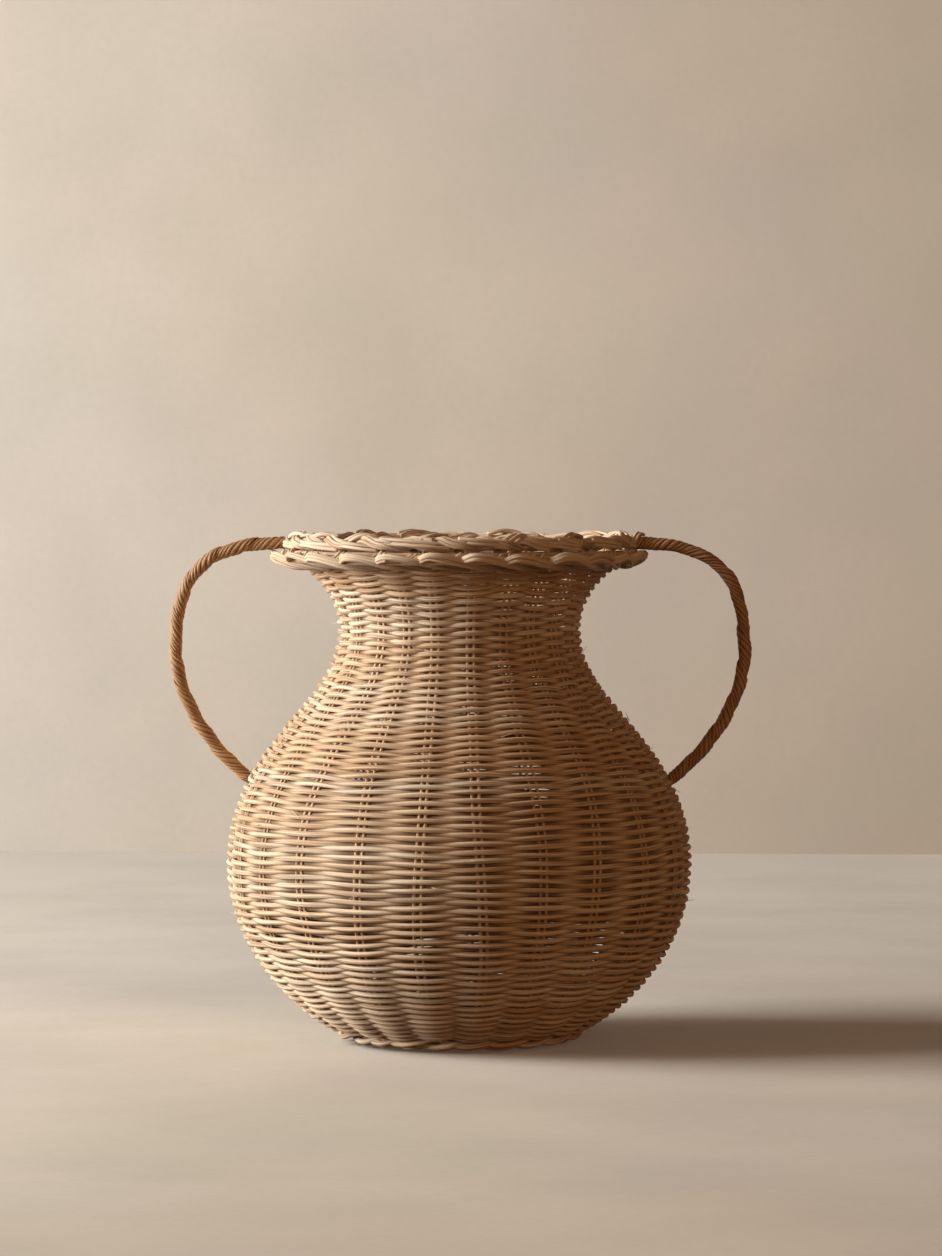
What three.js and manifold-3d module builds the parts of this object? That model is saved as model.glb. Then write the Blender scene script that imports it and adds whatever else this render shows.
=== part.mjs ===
// A woven rattan vase: round belly, narrow neck, flared rim with a two-tier border, two wrapped loop handles.
// Units are millimetres and +Z is up. The origin is the middle of the foot, on the floor.
// The handles lie along X and the front faces -Y.

import * as THREE from 'three';
import { mergeVertices } from 'three/addons/utils/BufferGeometryUtils.js';
import Module from 'manifold-3d';

const wasm = await Module();
wasm.setup();

// Canes
const STAKE_COUNT = 23; // pairs of stakes round the wall; odd, so that one weaver alternates by itself
const STAKE_DIAMETER = 2.4;
const WEAVER_DIAMETER = 2.8;
const WEAVE_BEDDING = 1.1; // how far a weaver and the stakes that it passes bed into each other
const FIT_GAP = 0.3; // between pieces that touch

// The stake line, which is the middle of the wall, from the foot up to the rim
const FOOT_RADIUS = 54; // where the stakes leave the flat base
const FOOT_RUN = 20; // pull of the curve along the floor
const BELLY_RADIUS = 125;
const BELLY_HEIGHT = 98; // widest part, above the floor
const BELLY_PULL_BELOW = 55; // how long the curve stays upright below the widest part
const BELLY_PULL_ABOVE = 66; // and above it
const NECK_RADIUS = 64;
const SHOULDER_HEIGHT = 128; // from the widest part up to the neck
const NECK_PULL_BELOW = 42;
const NECK_PULL_ABOVE = 18;
const RIM_RADIUS = 87; // where the weaving ends under the border
const FLARE_HEIGHT = 39; // from the neck up to the rim
const RIM_SLOPE = 37; // degrees above level at the rim
const RIM_PULL = 16;

// Base and foot
const MAT_GAP = 0.4; // between the pairs where they cross in the base
const LAYER_RUN = 14; // run over which the upper crossing layer comes down to the lower one
const SHORT_PAIR_TUCK = 20; // how far the short pair is pushed in from the foot
const WALE_DEPTH = 4.2; // how far the heavier foot rounds stand out from the stakes
const WALE_WIDTH = 13; // along the stake line
const FOOT_FLAT_DEPTH = 0.5; // the foot rounds are worn flat by this much

// Border
const UPPER_BORDER_HEIGHT = 13.4;
const UPPER_BORDER_WIDTH = 13.5;
const LOWER_BORDER_HEIGHT = 7.1;
const LOWER_BORDER_WIDTH = 10.5;
const LOWER_SLANT_RUN = 6; // how far the loops of the lower tier run in to the wall
const LOWER_SLANT_RISE = 4;
const BORDER_LOBE = 1; // how far each loop of the border stands out
const BORDER_ROUNDING = 2.6; // corner cut of a border tier
const STAKE_TIP_RISE = 5; // how far the stakes run up into the upper border
const STAKE_TIP_SHIFT = 2.5; // how far they move out on the way

// Handles
const HANDLE_DROP = 7; // centre of the upper end, below the top of the border
const HANDLE_REACH = 60; // from the border's edge to the middle of the bow
const HANDLE_BOW_DROP = 60; // widest point, below the upper end
const HANDLE_PULL_TOP = 52;
const HANDLE_PULL_ABOVE = 36;
const HANDLE_PULL_BELOW = 23;
const HANDLE_PULL_SEAT = 32;
const HANDLE_SEAT_RISE = 45; // lower end, above the widest part of the belly
const HANDLE_SEAT_ANGLE = 36; // degrees above level where it leaves the wall
const HANDLE_CORE_DIAMETER = 4.8;
const HANDLE_TAIL = 4.5; // past the middle of the wall
const WRAP_THICKNESS = 1;
const WRAP_CROWN = 0.35; // how much higher the middle of the strip stands than its edges
const WRAP_PITCH = 20;
const WRAP_GAP = 0.8; // between one turn of the strip and the next
const WRAP_END_GAP = 0.8; // from the ends of the strip to the border and the wall

// Facets
const STEPS_PER_WRAP_TURN = 10;
const CORE_STEPS = 26;

const stakeHalf = STAKE_DIAMETER / 2;
const wallHalf = stakeHalf + WEAVER_DIAMETER - WEAVE_BEDDING;
const crossHalf = WEAVER_DIAMETER / 2;
const waleHalf = stakeHalf + WALE_DEPTH;
const spacing = (2 * Math.PI) / STAKE_COUNT;

// Both handles lie a quarter spacing from the nearest stakes.
const stakeAngle = (index) => (index - 0.25) * spacing;

// A point or a direction given by its radius and height, turned to an angle about the axis
const polar = (angle, radius, height) =>
  new THREE.Vector3(radius * Math.cos(angle), radius * Math.sin(angle), height);

// A closed solid through a row of matching outlines. A ring joins its last outline to its first.
function loft(outlines, ring = false) {
  const count = outlines[0].length;
  const index = [];
  const spans = ring ? outlines.length : outlines.length - 1;
  for (let row = 0; row < spans; row += 1) {
    const here = row * count;
    const ahead = ((row + 1) % outlines.length) * count;
    for (let i = 0; i < count; i += 1) {
      const j = (i + 1) % count;
      index.push(here + i, here + j, ahead + j, here + i, ahead + j, ahead + i);
    }
  }
  if (!ring) {
    const end = spans * count;
    for (let i = 1; i < count - 1; i += 1) {
      index.push(0, i + 1, i, end, end + i, end + i + 1);
    }
  }
  const geometry = new THREE.BufferGeometry().setFromPoints(outlines.flat());
  geometry.setIndex(index);
  return geometry;
}

// Joins and cuts
function solidOf(geometry) {
  const bare = new THREE.BufferGeometry();
  bare.setAttribute('position', geometry.getAttribute('position').clone());
  bare.setIndex(geometry.getIndex());
  const merged = mergeVertices(bare, 1e-4);
  const vertProperties = new Float32Array(merged.getAttribute('position').array);
  const triVerts = new Uint32Array(merged.getIndex().array);
  return new wasm.Manifold(new wasm.Mesh({ numProp: 3, vertProperties, triVerts }));
}

function geometryOf(solid) {
  const mesh = solid.getMesh();
  const geometry = new THREE.BufferGeometry();
  geometry.setAttribute('position', new THREE.BufferAttribute(new Float32Array(mesh.vertProperties), 3));
  geometry.setIndex(new THREE.BufferAttribute(new Uint32Array(mesh.triVerts), 1));
  return geometry;
}

function cut(geometry, tools) {
  return geometryOf(tools.reduce((solid, tool) => solid.subtract(tool), solidOf(geometry)));
}

// Materials
const finish = (color, roughness) => new THREE.MeshStandardMaterial({ color, roughness, metalness: 0 });
const paleCane = finish(0xd8b483, 0.6);
const stakeCane = finish(0xc79f6c, 0.65);
const brownCane = finish(0x8c5f3c, 0.7);
const brownStrip = finish(0x966440, 0.6);

function piece(name, geometry, material) {
  const mesh = new THREE.Mesh(geometry, material);
  geometry.computeVertexNormals();
  mesh.name = name;
  return mesh;
}

// The stake line in three smooth curves: radius across, height up
const footHeight = waleHalf - FOOT_FLAT_DEPTH;
const neckHeight = BELLY_HEIGHT + SHOULDER_HEIGHT;
const rimHeight = neckHeight + FLARE_HEIGHT;
const rimAngle = THREE.MathUtils.degToRad(RIM_SLOPE);
const footCurve = new THREE.CubicBezierCurve(
  new THREE.Vector2(FOOT_RADIUS, footHeight),
  new THREE.Vector2(FOOT_RADIUS + FOOT_RUN, footHeight),
  new THREE.Vector2(BELLY_RADIUS, BELLY_HEIGHT - BELLY_PULL_BELOW),
  new THREE.Vector2(BELLY_RADIUS, BELLY_HEIGHT),
);
const shoulderCurve = new THREE.CubicBezierCurve(
  new THREE.Vector2(BELLY_RADIUS, BELLY_HEIGHT),
  new THREE.Vector2(BELLY_RADIUS, BELLY_HEIGHT + BELLY_PULL_ABOVE),
  new THREE.Vector2(NECK_RADIUS, neckHeight - NECK_PULL_BELOW),
  new THREE.Vector2(NECK_RADIUS, neckHeight),
);
const flareCurve = new THREE.CubicBezierCurve(
  new THREE.Vector2(NECK_RADIUS, neckHeight),
  new THREE.Vector2(NECK_RADIUS, neckHeight + NECK_PULL_ABOVE),
  new THREE.Vector2(RIM_RADIUS - RIM_PULL * Math.cos(rimAngle), rimHeight - RIM_PULL * Math.sin(rimAngle)),
  new THREE.Vector2(RIM_RADIUS, rimHeight),
);

// A place on the stake line, with the line's own direction there
const station = (curve, share) => ({ spot: curve.getPointAt(share), slope: curve.getTangentAt(share) });

// The stretches of the wall from the foot up, each with its part of a curve.
// The wale is as thick between the stakes as at them.
const waleShare = WALE_WIDTH / footCurve.getLength();
const middleShare = (1 + waleShare) / 2;
const stretches = [
  { name: 'upsett_wale', curve: footCurve, from: 0, to: waleShare, steps: 4, half: waleHalf },
  { name: 'lower_weave', curve: footCurve, from: waleShare, to: middleShare, steps: 3 },
  { name: 'belly_weave', curve: footCurve, from: middleShare, to: 1, steps: 2 },
  { name: 'shoulder_weave', curve: shoulderCurve, from: 0, to: 0.5, steps: 3 },
  { name: 'neck_weave', curve: shoulderCurve, from: 0.5, to: 1, steps: 3 },
  { name: 'flare_weave', curve: flareCurve, from: 0, to: 1, steps: 3 },
];

function stretchShares({ from, to, steps }) {
  return Array.from({ length: steps + 1 }, (_, step) => THREE.MathUtils.lerp(from, to, step / steps));
}

// Border sizes, worked out from where the weaving and the stakes end
const rimStation = station(flareCurve, 1);
const upperBottom = rimStation.spot.y + wallHalf * rimStation.slope.x + FIT_GAP;
const upperTop = upperBottom + UPPER_BORDER_HEIGHT;
const lowerTop = upperBottom - FIT_GAP;
const tipRadius = RIM_RADIUS + STAKE_TIP_SHIFT;
const upperInner = tipRadius - UPPER_BORDER_WIDTH / 2;
const upperOuter = upperInner + UPPER_BORDER_WIDTH;
const lowerInner = tipRadius + stakeHalf + 2 * FIT_GAP;
const lowerOuter = lowerInner + LOWER_BORDER_WIDTH;

// The stakes follow every stretch and end upright in the upper border.
const tipStation = {
  spot: new THREE.Vector2(tipRadius, upperBottom + STAKE_TIP_RISE),
  slope: new THREE.Vector2(0, 1),
};
const stakeStations = stretches.flatMap((stretch, order) => {
  const shares = stretchShares(stretch).slice(order === 0 ? 0 : 1);
  return shares.map((share) => station(stretch.curve, share));
});
stakeStations.push(tipStation);

// One place on a pair of stakes: its middle, the way that it runs, and the way out of the wall
function wallSpots(index, stations = stakeStations) {
  const angle = stakeAngle(index);
  return stations.map(({ spot, slope }) => ({
    middle: polar(angle, spot.x, spot.y),
    along: polar(angle, slope.x, slope.y),
    out: polar(angle, slope.y, -slope.x),
  }));
}

function turnedBack(spots) {
  return spots.map((place) => ({ ...place, along: place.along.clone().negate() })).reverse();
}

// The flat outline of a pair of stakes, or of the slot that it runs in
function pairOutline({ middle, along, out }, spare) {
  const side = out.clone().cross(along).normalize();
  const width = STAKE_DIAMETER + spare;
  const depth = stakeHalf + spare;
  const corners = [[-1, -1], [1, -1], [1, 1], [-1, 1]];
  return corners.map(([across, through]) =>
    middle.clone().addScaledVector(side, across * width).addScaledVector(out, through * depth));
}

// The base: long pairs cross in two layers, six one way and five the other, and fan out to the wall
const longPairs = Math.floor(STAKE_COUNT / 2);
const pairsAlongX = Math.ceil(longPairs / 2);
const pairsAlongY = longPairs - pairsAlongX;
const matPitch = 2 * STAKE_DIAMETER + MAT_GAP;
const crossRadius = (Math.hypot(pairsAlongX, pairsAlongY) * matPitch) / 2 + STAKE_DIAMETER;
const fanRadius = crossRadius + LAYER_RUN;
const upperLayer = footHeight + STAKE_DIAMETER + FIT_GAP;
const firstRight = -Math.floor((pairsAlongX - 1) / 2);
const firstBack = firstRight + pairsAlongX;
const firstLeft = firstBack + pairsAlongY;
const firstFront = firstLeft + pairsAlongX;
const shortIndex = firstFront + Math.ceil(pairsAlongY / 2);

// A long pair runs in from one wall, straight across the middle at an offset, and out to the other wall.
function longPair(fromIndex, toIndex, offset, heading, level) {
  const across = new THREE.Vector3(-heading.y, heading.x, 0);
  const reach = Math.sqrt(crossRadius ** 2 - offset ** 2);
  const down = new THREE.Vector3(0, 0, -1);
  const bend = (sign) => across.clone().multiplyScalar(offset)
    .addScaledVector(heading, sign * reach)
    .setZ(level);
  const fan = (index) => polar(stakeAngle(index), fanRadius, footHeight);
  const outgoing = polar(stakeAngle(toIndex), 1, 0);
  const incoming = polar(stakeAngle(fromIndex), -1, 0);
  const floorSpots = [
    { middle: fan(fromIndex), along: incoming, out: down },
    { middle: bend(-1), along: incoming.clone().add(heading).normalize(), out: down },
    { middle: bend(1), along: outgoing.clone().add(heading).normalize(), out: down },
    { middle: fan(toIndex), along: outgoing, out: down },
  ];
  const spots = [...turnedBack(wallSpots(fromIndex)), ...floorSpots, ...wallSpots(toIndex)];
  return loft(spots.map((place) => pairOutline(place, 0)));
}

function shortPair(index) {
  const angle = stakeAngle(index);
  const start = {
    middle: polar(angle, FOOT_RADIUS - SHORT_PAIR_TUCK, footHeight),
    along: polar(angle, 1, 0),
    out: new THREE.Vector3(0, 0, -1),
  };
  return loft([start, ...wallSpots(index)].map((place) => pairOutline(place, 0)));
}

const base = new THREE.Group();
const pairName = (number) => `stake_pair_${String(number).padStart(2, '0')}`;
for (let i = 0; i < pairsAlongX; i += 1) {
  const offset = (i - (pairsAlongX - 1) / 2) * matPitch;
  const heading = new THREE.Vector3(1, 0, 0);
  const geometry = longPair(firstFront - 1 - i, firstRight + i, offset, heading, footHeight);
  base.add(piece(pairName(i + 1), geometry, stakeCane));
}
for (let i = 0; i < pairsAlongY; i += 1) {
  const offset = ((pairsAlongY - 1) / 2 - i) * matPitch;
  const heading = new THREE.Vector3(0, 1, 0);
  const front = firstFront + i;
  const toBack = firstLeft - 1 - i;
  const geometry = longPair(front < shortIndex ? front : front + 1, toBack, offset, heading, upperLayer);
  base.add(piece(pairName(pairsAlongX + i + 1), geometry, stakeCane));
}
base.add(piece(pairName(longPairs + 1), shortPair(shortIndex), stakeCane));

// A ring of given corners, each a radius and a height, as a lathed solid
function turnedRing(corners, segments) {
  const profile = [...corners, corners[0]].map(([radius, height]) => new THREE.Vector2(radius, height));
  const geometry = new THREE.LatheGeometry(profile, segments).rotateX(Math.PI / 2);
  geometry.deleteAttribute('normal');
  geometry.deleteAttribute('uv');
  return mergeVertices(geometry, 1e-4);
}

function baseRounds(inner, bottom) {
  const outer = FOOT_RADIUS - FIT_GAP;
  const top = bottom + WEAVER_DIAMETER;
  return turnedRing([[inner, bottom], [outer, bottom], [outer, top], [inner, top]], STAKE_COUNT);
}

const outsideBottom = footHeight - stakeHalf - FIT_GAP - WEAVER_DIAMETER;
const insideBottom = footHeight + stakeHalf + FIT_GAP;
base.add(piece('base_weave_outside', baseRounds(crossRadius, outsideBottom), paleCane));
base.add(piece('base_weave_inside', baseRounds(fanRadius + FIT_GAP, insideBottom), paleCane));

// Slots for the stakes, as wide as a pair with the fitting gap all round, run past both ends of the wall
const slotStart = {
  spot: new THREE.Vector2(FOOT_RADIUS - WEAVER_DIAMETER, footHeight),
  slope: new THREE.Vector2(1, 0),
};
const slotEnd = {
  spot: tipStation.spot.clone().add(new THREE.Vector2(0, FIT_GAP)),
  slope: tipStation.slope,
};
const slotStations = [slotStart, ...stakeStations.slice(0, -1), slotEnd];
const slots = Array.from({ length: STAKE_COUNT }, (_, index) =>
  solidOf(loft(wallSpots(index, slotStations).map((place) => pairOutline(place, FIT_GAP)))));

// The handle's line: level out of the border, round the bow, and down into the shoulder
const handleHeight = upperTop - HANDLE_DROP;
const bowRadius = upperOuter + HANDLE_REACH;
const bowHeight = handleHeight - HANDLE_BOW_DROP;
const seatAngle = THREE.MathUtils.degToRad(HANDLE_SEAT_ANGLE);

// The share of a rising curve at which it reaches a height
function shareAtHeight(curve, height) {
  let low = 0;
  let high = 1;
  while (high - low > 1e-6) {
    const middle = (low + high) / 2;
    if (curve.getPointAt(middle).y < height) low = middle;
    else high = middle;
  }
  return low;
}

const seatStation = station(shoulderCurve, shareAtHeight(shoulderCurve, BELLY_HEIGHT + HANDLE_SEAT_RISE));
const flat = (across, up) => new THREE.Vector3(across, 0, up);
const seat = flat(seatStation.spot.x, seatStation.spot.y);
const seatWay = flat(Math.cos(seatAngle), Math.sin(seatAngle));
const handleLine = new THREE.CurvePath();
handleLine.add(new THREE.LineCurve3(flat(upperInner, handleHeight), flat(upperOuter, handleHeight)));
handleLine.add(new THREE.CubicBezierCurve3(
  flat(upperOuter, handleHeight),
  flat(upperOuter + HANDLE_PULL_TOP, handleHeight),
  flat(bowRadius, bowHeight + HANDLE_PULL_ABOVE),
  flat(bowRadius, bowHeight),
));
handleLine.add(new THREE.CubicBezierCurve3(
  flat(bowRadius, bowHeight),
  flat(bowRadius, bowHeight - HANDLE_PULL_BELOW),
  seat.clone().addScaledVector(seatWay, HANDLE_PULL_SEAT),
  seat,
));
handleLine.add(new THREE.LineCurve3(seat, seat.clone().addScaledVector(seatWay, -HANDLE_TAIL)));

function coreAlongHandle(radius) {
  const round = new THREE.Shape().absarc(0, 0, radius, 0, 2 * Math.PI);
  const geometry = new THREE.ExtrudeGeometry(round, {
    steps: CORE_STEPS,
    curveSegments: 4,
    bevelEnabled: false,
    extrudePath: handleLine,
  });
  geometry.deleteAttribute('normal');
  geometry.deleteAttribute('uv');
  return mergeVertices(geometry, 1e-4);
}

// The wrap is one strip wound round the core. Its ends are trimmed square to the border and to the wall.
const wrapInner = HANDLE_CORE_DIAMETER / 2 + FIT_GAP;
const wrapEdge = wrapInner + WRAP_THICKNESS;
const handleLength = handleLine.getLength();
const seatLean = Math.acos(seatWay.dot(flat(seatStation.slope.y, -seatStation.slope.x)));
const seatClear = wallHalf + WRAP_END_GAP + (wrapEdge + WRAP_CROWN) * Math.sin(seatLean);
const wrapStart = upperOuter + BORDER_LOBE + WRAP_END_GAP - upperInner;
const wrapEnd = handleLength - HANDLE_TAIL - seatClear / Math.cos(seatLean);

function wrapPoint(distance, turn, radius) {
  const share = distance / handleLength;
  const along = handleLine.getTangent(share);
  const sideways = new THREE.Vector3(0, 1, 0);
  const inward = sideways.clone().cross(along);
  return handleLine.getPoint(share)
    .addScaledVector(inward, radius * Math.cos(turn))
    .addScaledVector(sideways, radius * Math.sin(turn));
}

function wrapOutlines() {
  const width = WRAP_PITCH - WRAP_GAP;
  const turns = (wrapEnd - wrapStart) / WRAP_PITCH + 1;
  const steps = Math.floor(turns * STEPS_PER_WRAP_TURN) - 1;
  return Array.from({ length: steps }, (_, step) => {
    const wound = (step + 1) / STEPS_PER_WRAP_TURN;
    const lead = wrapEnd + WRAP_PITCH / 2 - wound * WRAP_PITCH;
    const low = THREE.MathUtils.clamp(lead - width / 2, wrapStart, wrapEnd);
    const high = THREE.MathUtils.clamp(lead + width / 2, wrapStart, wrapEnd);
    const middle = (low + high) / 2;
    const turn = wound * 2 * Math.PI;
    return [
      wrapPoint(low, turn, wrapInner),
      wrapPoint(middle, turn, wrapInner),
      wrapPoint(high, turn, wrapInner),
      wrapPoint(high, turn, wrapEdge),
      wrapPoint(middle, turn, wrapEdge + WRAP_CROWN),
      wrapPoint(low, turn, wrapEdge),
    ];
  });
}

// The least distance between points of the strip that are more than half a turn apart
function leastGap(outlines) {
  let least = Infinity;
  outlines.forEach((outline, order) => {
    outlines.slice(order + Math.ceil(STEPS_PER_WRAP_TURN / 2) + 1).forEach((later) => {
      outline.forEach((point) => later.forEach((other) => {
        least = Math.min(least, point.distanceTo(other));
      }));
    });
  });
  return least;
}

const wrap = wrapOutlines();
console.log(`handle wrap: least gap to itself ${leastGap(wrap).toFixed(2)} mm`);

const handles = new THREE.Group();
const sides = { right: 0, left: Math.PI };
const handleHoles = [];
for (const [side, turn] of Object.entries(sides)) {
  const place = new THREE.Matrix4().makeRotationZ(turn);
  const core = coreAlongHandle(HANDLE_CORE_DIAMETER / 2).applyMatrix4(place);
  handles.add(piece(`${side}_handle_core`, core, brownCane));
  handles.add(piece(`${side}_handle_wrap`, loft(wrap).applyMatrix4(place), brownStrip));
  handleHoles.push(solidOf(coreAlongHandle(HANDLE_CORE_DIAMETER / 2 + FIT_GAP).applyMatrix4(place)));
}

// A stretch of weaving is a ribbed ring.
// At each stake it is as thick as the stake with a weaver bedded on each side.
// Between the stakes, where the rows cross from one side to the other, it is as thick as one weaver.
function weaveStretch(stretch) {
  const atStakes = stretch.half ?? wallHalf;
  const between = stretch.half ?? crossHalf;
  const trim = FIT_GAP / 2 / stretch.curve.getLength();
  const shares = stretchShares(stretch);
  shares[0] += trim;
  shares[shares.length - 1] -= trim;
  const stations = shares.map((share) => station(stretch.curve, share));
  const outlines = Array.from({ length: 2 * STAKE_COUNT }, (_, section) => {
    const angle = stakeAngle(section / 2);
    const half = section % 2 === 0 ? atStakes : between;
    const face = (offset) => stations.map(({ spot, slope }) =>
      polar(angle, spot.x + offset * slope.y, Math.max(spot.y - offset * slope.x, 0)));
    return [...face(-half), ...face(half).reverse()];
  });
  return cut(loft(outlines, true), [...slots, ...handleHoles]);
}

const wall = new THREE.Group();
stretches.forEach((stretch) => wall.add(piece(stretch.name, weaveStretch(stretch), paleCane)));

// A border tier is a ring with a loop standing out at every other outline, at the stakes or between them.
// Its outer face slants in towards the lower edge, over a run and a rise.
function borderTier({ inner, outer, bottom, top, slantRun, slantRise, loopsAtStakes }) {
  const soft = BORDER_ROUNDING;
  const outlines = Array.from({ length: 2 * STAKE_COUNT }, (_, section) => {
    const angle = stakeAngle((section + (loopsAtStakes ? 0 : 1)) / 2);
    const edge = outer + (section % 2 === 0 ? BORDER_LOBE : 0);
    const corners = [
      [inner + soft, top], [edge - soft, top], [edge, top - soft], [edge, bottom + slantRise],
      [edge - slantRun, bottom], [inner + soft, bottom], [inner, bottom + soft], [inner, top - soft],
    ];
    return corners.map(([radius, height]) => polar(angle, radius, height));
  });
  return cut(loft(outlines, true), [...slots, ...handleHoles]);
}

const border = new THREE.Group();
const lowerTier = borderTier({
  inner: lowerInner,
  outer: lowerOuter,
  bottom: lowerTop - LOWER_BORDER_HEIGHT,
  top: lowerTop,
  slantRun: LOWER_SLANT_RUN,
  slantRise: LOWER_SLANT_RISE,
  loopsAtStakes: true,
});
const upperTier = borderTier({
  inner: upperInner,
  outer: upperOuter,
  bottom: upperBottom,
  top: upperTop,
  slantRun: BORDER_ROUNDING,
  slantRise: BORDER_ROUNDING,
  loopsAtStakes: false,
});
border.add(piece('lower_border', lowerTier, paleCane));
border.add(piece('upper_border', upperTier, paleCane));

const vase = new THREE.Group();
vase.add(base, wall, border, handles);

export default vase;
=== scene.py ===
import math

import bpy
import numpy as np
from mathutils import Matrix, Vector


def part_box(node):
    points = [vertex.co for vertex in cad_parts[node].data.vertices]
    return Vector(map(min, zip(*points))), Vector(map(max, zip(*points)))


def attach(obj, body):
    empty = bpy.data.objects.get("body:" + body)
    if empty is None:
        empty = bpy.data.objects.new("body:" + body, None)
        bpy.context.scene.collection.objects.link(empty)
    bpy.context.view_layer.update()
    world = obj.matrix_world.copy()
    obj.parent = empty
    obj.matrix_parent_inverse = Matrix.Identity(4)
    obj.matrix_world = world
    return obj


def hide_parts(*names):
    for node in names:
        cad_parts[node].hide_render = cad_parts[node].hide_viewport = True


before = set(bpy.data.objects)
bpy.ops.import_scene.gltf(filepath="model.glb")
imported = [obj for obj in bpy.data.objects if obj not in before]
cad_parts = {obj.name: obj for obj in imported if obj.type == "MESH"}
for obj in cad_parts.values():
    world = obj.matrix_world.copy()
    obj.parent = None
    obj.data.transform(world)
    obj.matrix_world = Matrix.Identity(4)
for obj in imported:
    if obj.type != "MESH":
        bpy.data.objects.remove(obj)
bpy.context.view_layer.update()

# Stakes: 23 pairs of thin round cane, which stand round the wall and carry the weaving.
# Eleven long pairs cross in the base and run up both sides, and one short pair is pushed into the base.
# The weaving grips them all the way, and their tips run up into the border.

STAKE_COUNT = 23
STAKE_SPACING = 2 * math.pi / STAKE_COUNT
STAKE_RADIUS = 0.00090
STAKE_APART = 0.0036  # between the middles of the two stakes of a pair
STAKE_STRAY = 0.00025  # how far a stake strays from its place in the pair
STAKE_STEPS = 110  # up the wall
STEP_LENGTH = 0.003  # of a stake, about
FOOT_RADIUS = 0.054
FOOT_HEIGHT = 0.0049
FOOT_PULL = 0.020  # a pull is how far the wall's curve keeps its way from a place
BELLY_RADIUS = 0.125
BELLY_HEIGHT = 0.098
BELLY_PULL_BELOW = 0.055
BELLY_PULL_ABOVE = 0.066
NECK_RADIUS = 0.064
NECK_HEIGHT = 0.226
NECK_PULL_BELOW = 0.042
NECK_PULL_ABOVE = 0.018
RIM_RADIUS = 0.087
RIM_HEIGHT = 0.265
RIM_SLOPE = math.radians(37)
RIM_PULL_BELOW = 0.016
RIM_PULL_ABOVE = 0.003
TIP_RADIUS = 0.0895
TIP_RISE = 0.005  # how far the stakes run up into the upper border
TIP_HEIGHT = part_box("upper_border")[0][2] + TIP_RISE
TIP_PULL = 0.004
LONG_PAIRS = STAKE_COUNT // 2
PAIRS_ALONG_X = math.ceil(LONG_PAIRS / 2)
PAIRS_ALONG_Y = LONG_PAIRS - PAIRS_ALONG_X
FIRST_RIGHT = -((PAIRS_ALONG_X - 1) // 2)  # the first stake on the right, with the others counted on from it
FIRST_BACK = FIRST_RIGHT + PAIRS_ALONG_X
FIRST_LEFT = FIRST_BACK + PAIRS_ALONG_Y
FIRST_FRONT = FIRST_LEFT + PAIRS_ALONG_X
SHORT_PAIR = FIRST_FRONT + math.ceil(PAIRS_ALONG_Y / 2)
CROSS_RADIUS = 0.0227  # of the square where the long pairs cross
FAN_RADIUS = 0.0367  # where they have come down to one level
CROSS_PITCH = 0.0052
UPPER_LAYER = 0.0076
SHORT_PAIR_TUCK = 0.020
DOWN = (0.0, 0.0, -1.0)


def curve(start, start_pull, end_pull, end, steps=160):
    """Points on a smooth curve from start to end, pulled towards two points on the way."""
    share = np.linspace(0, 1, steps)[:, None]
    rest = 1 - share
    weights = (rest ** 3, 3 * rest ** 2 * share, 3 * rest * share ** 2, share ** 3)
    corners = (start, start_pull, end_pull, end)
    return sum(weight * np.array(corner, dtype=float) for weight, corner in zip(weights, corners))


def run_along(line):
    """How far along a line each of its points is."""
    return np.concatenate([[0], np.cumsum(np.linalg.norm(np.diff(line, axis=0), axis=1))])


def unit(ways):
    """The same ways, each with a length of 1."""
    return ways / np.linalg.norm(ways, axis=-1)[..., None]


foot_curve = curve(
    (FOOT_RADIUS, FOOT_HEIGHT),
    (FOOT_RADIUS + FOOT_PULL, FOOT_HEIGHT),
    (BELLY_RADIUS, BELLY_HEIGHT - BELLY_PULL_BELOW),
    (BELLY_RADIUS, BELLY_HEIGHT),
)
shoulder_curve = curve(
    (BELLY_RADIUS, BELLY_HEIGHT),
    (BELLY_RADIUS, BELLY_HEIGHT + BELLY_PULL_ABOVE),
    (NECK_RADIUS, NECK_HEIGHT - NECK_PULL_BELOW),
    (NECK_RADIUS, NECK_HEIGHT),
)
flare_curve = curve(
    (NECK_RADIUS, NECK_HEIGHT),
    (NECK_RADIUS, NECK_HEIGHT + NECK_PULL_ABOVE),
    (RIM_RADIUS - RIM_PULL_BELOW * math.cos(RIM_SLOPE), RIM_HEIGHT - RIM_PULL_BELOW * math.sin(RIM_SLOPE)),
    (RIM_RADIUS, RIM_HEIGHT),
)
tip_curve = curve(
    (RIM_RADIUS, RIM_HEIGHT),
    (RIM_RADIUS + RIM_PULL_ABOVE * math.cos(RIM_SLOPE), RIM_HEIGHT + RIM_PULL_ABOVE * math.sin(RIM_SLOPE)),
    (TIP_RADIUS, TIP_HEIGHT - TIP_PULL),
    (TIP_RADIUS, TIP_HEIGHT),
)
stake_line = np.vstack([foot_curve, shoulder_curve[1:], flare_curve[1:], tip_curve[1:]])
stake_run = run_along(stake_line)
stake_slope = unit(np.gradient(stake_line, stake_run, axis=0))
belly_run = stake_run[len(foot_curve) - 1]
neck_run = stake_run[len(foot_curve) + len(shoulder_curve) - 2]
rim_run = stake_run[-len(tip_curve)]
tip_run = stake_run[-1]


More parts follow.
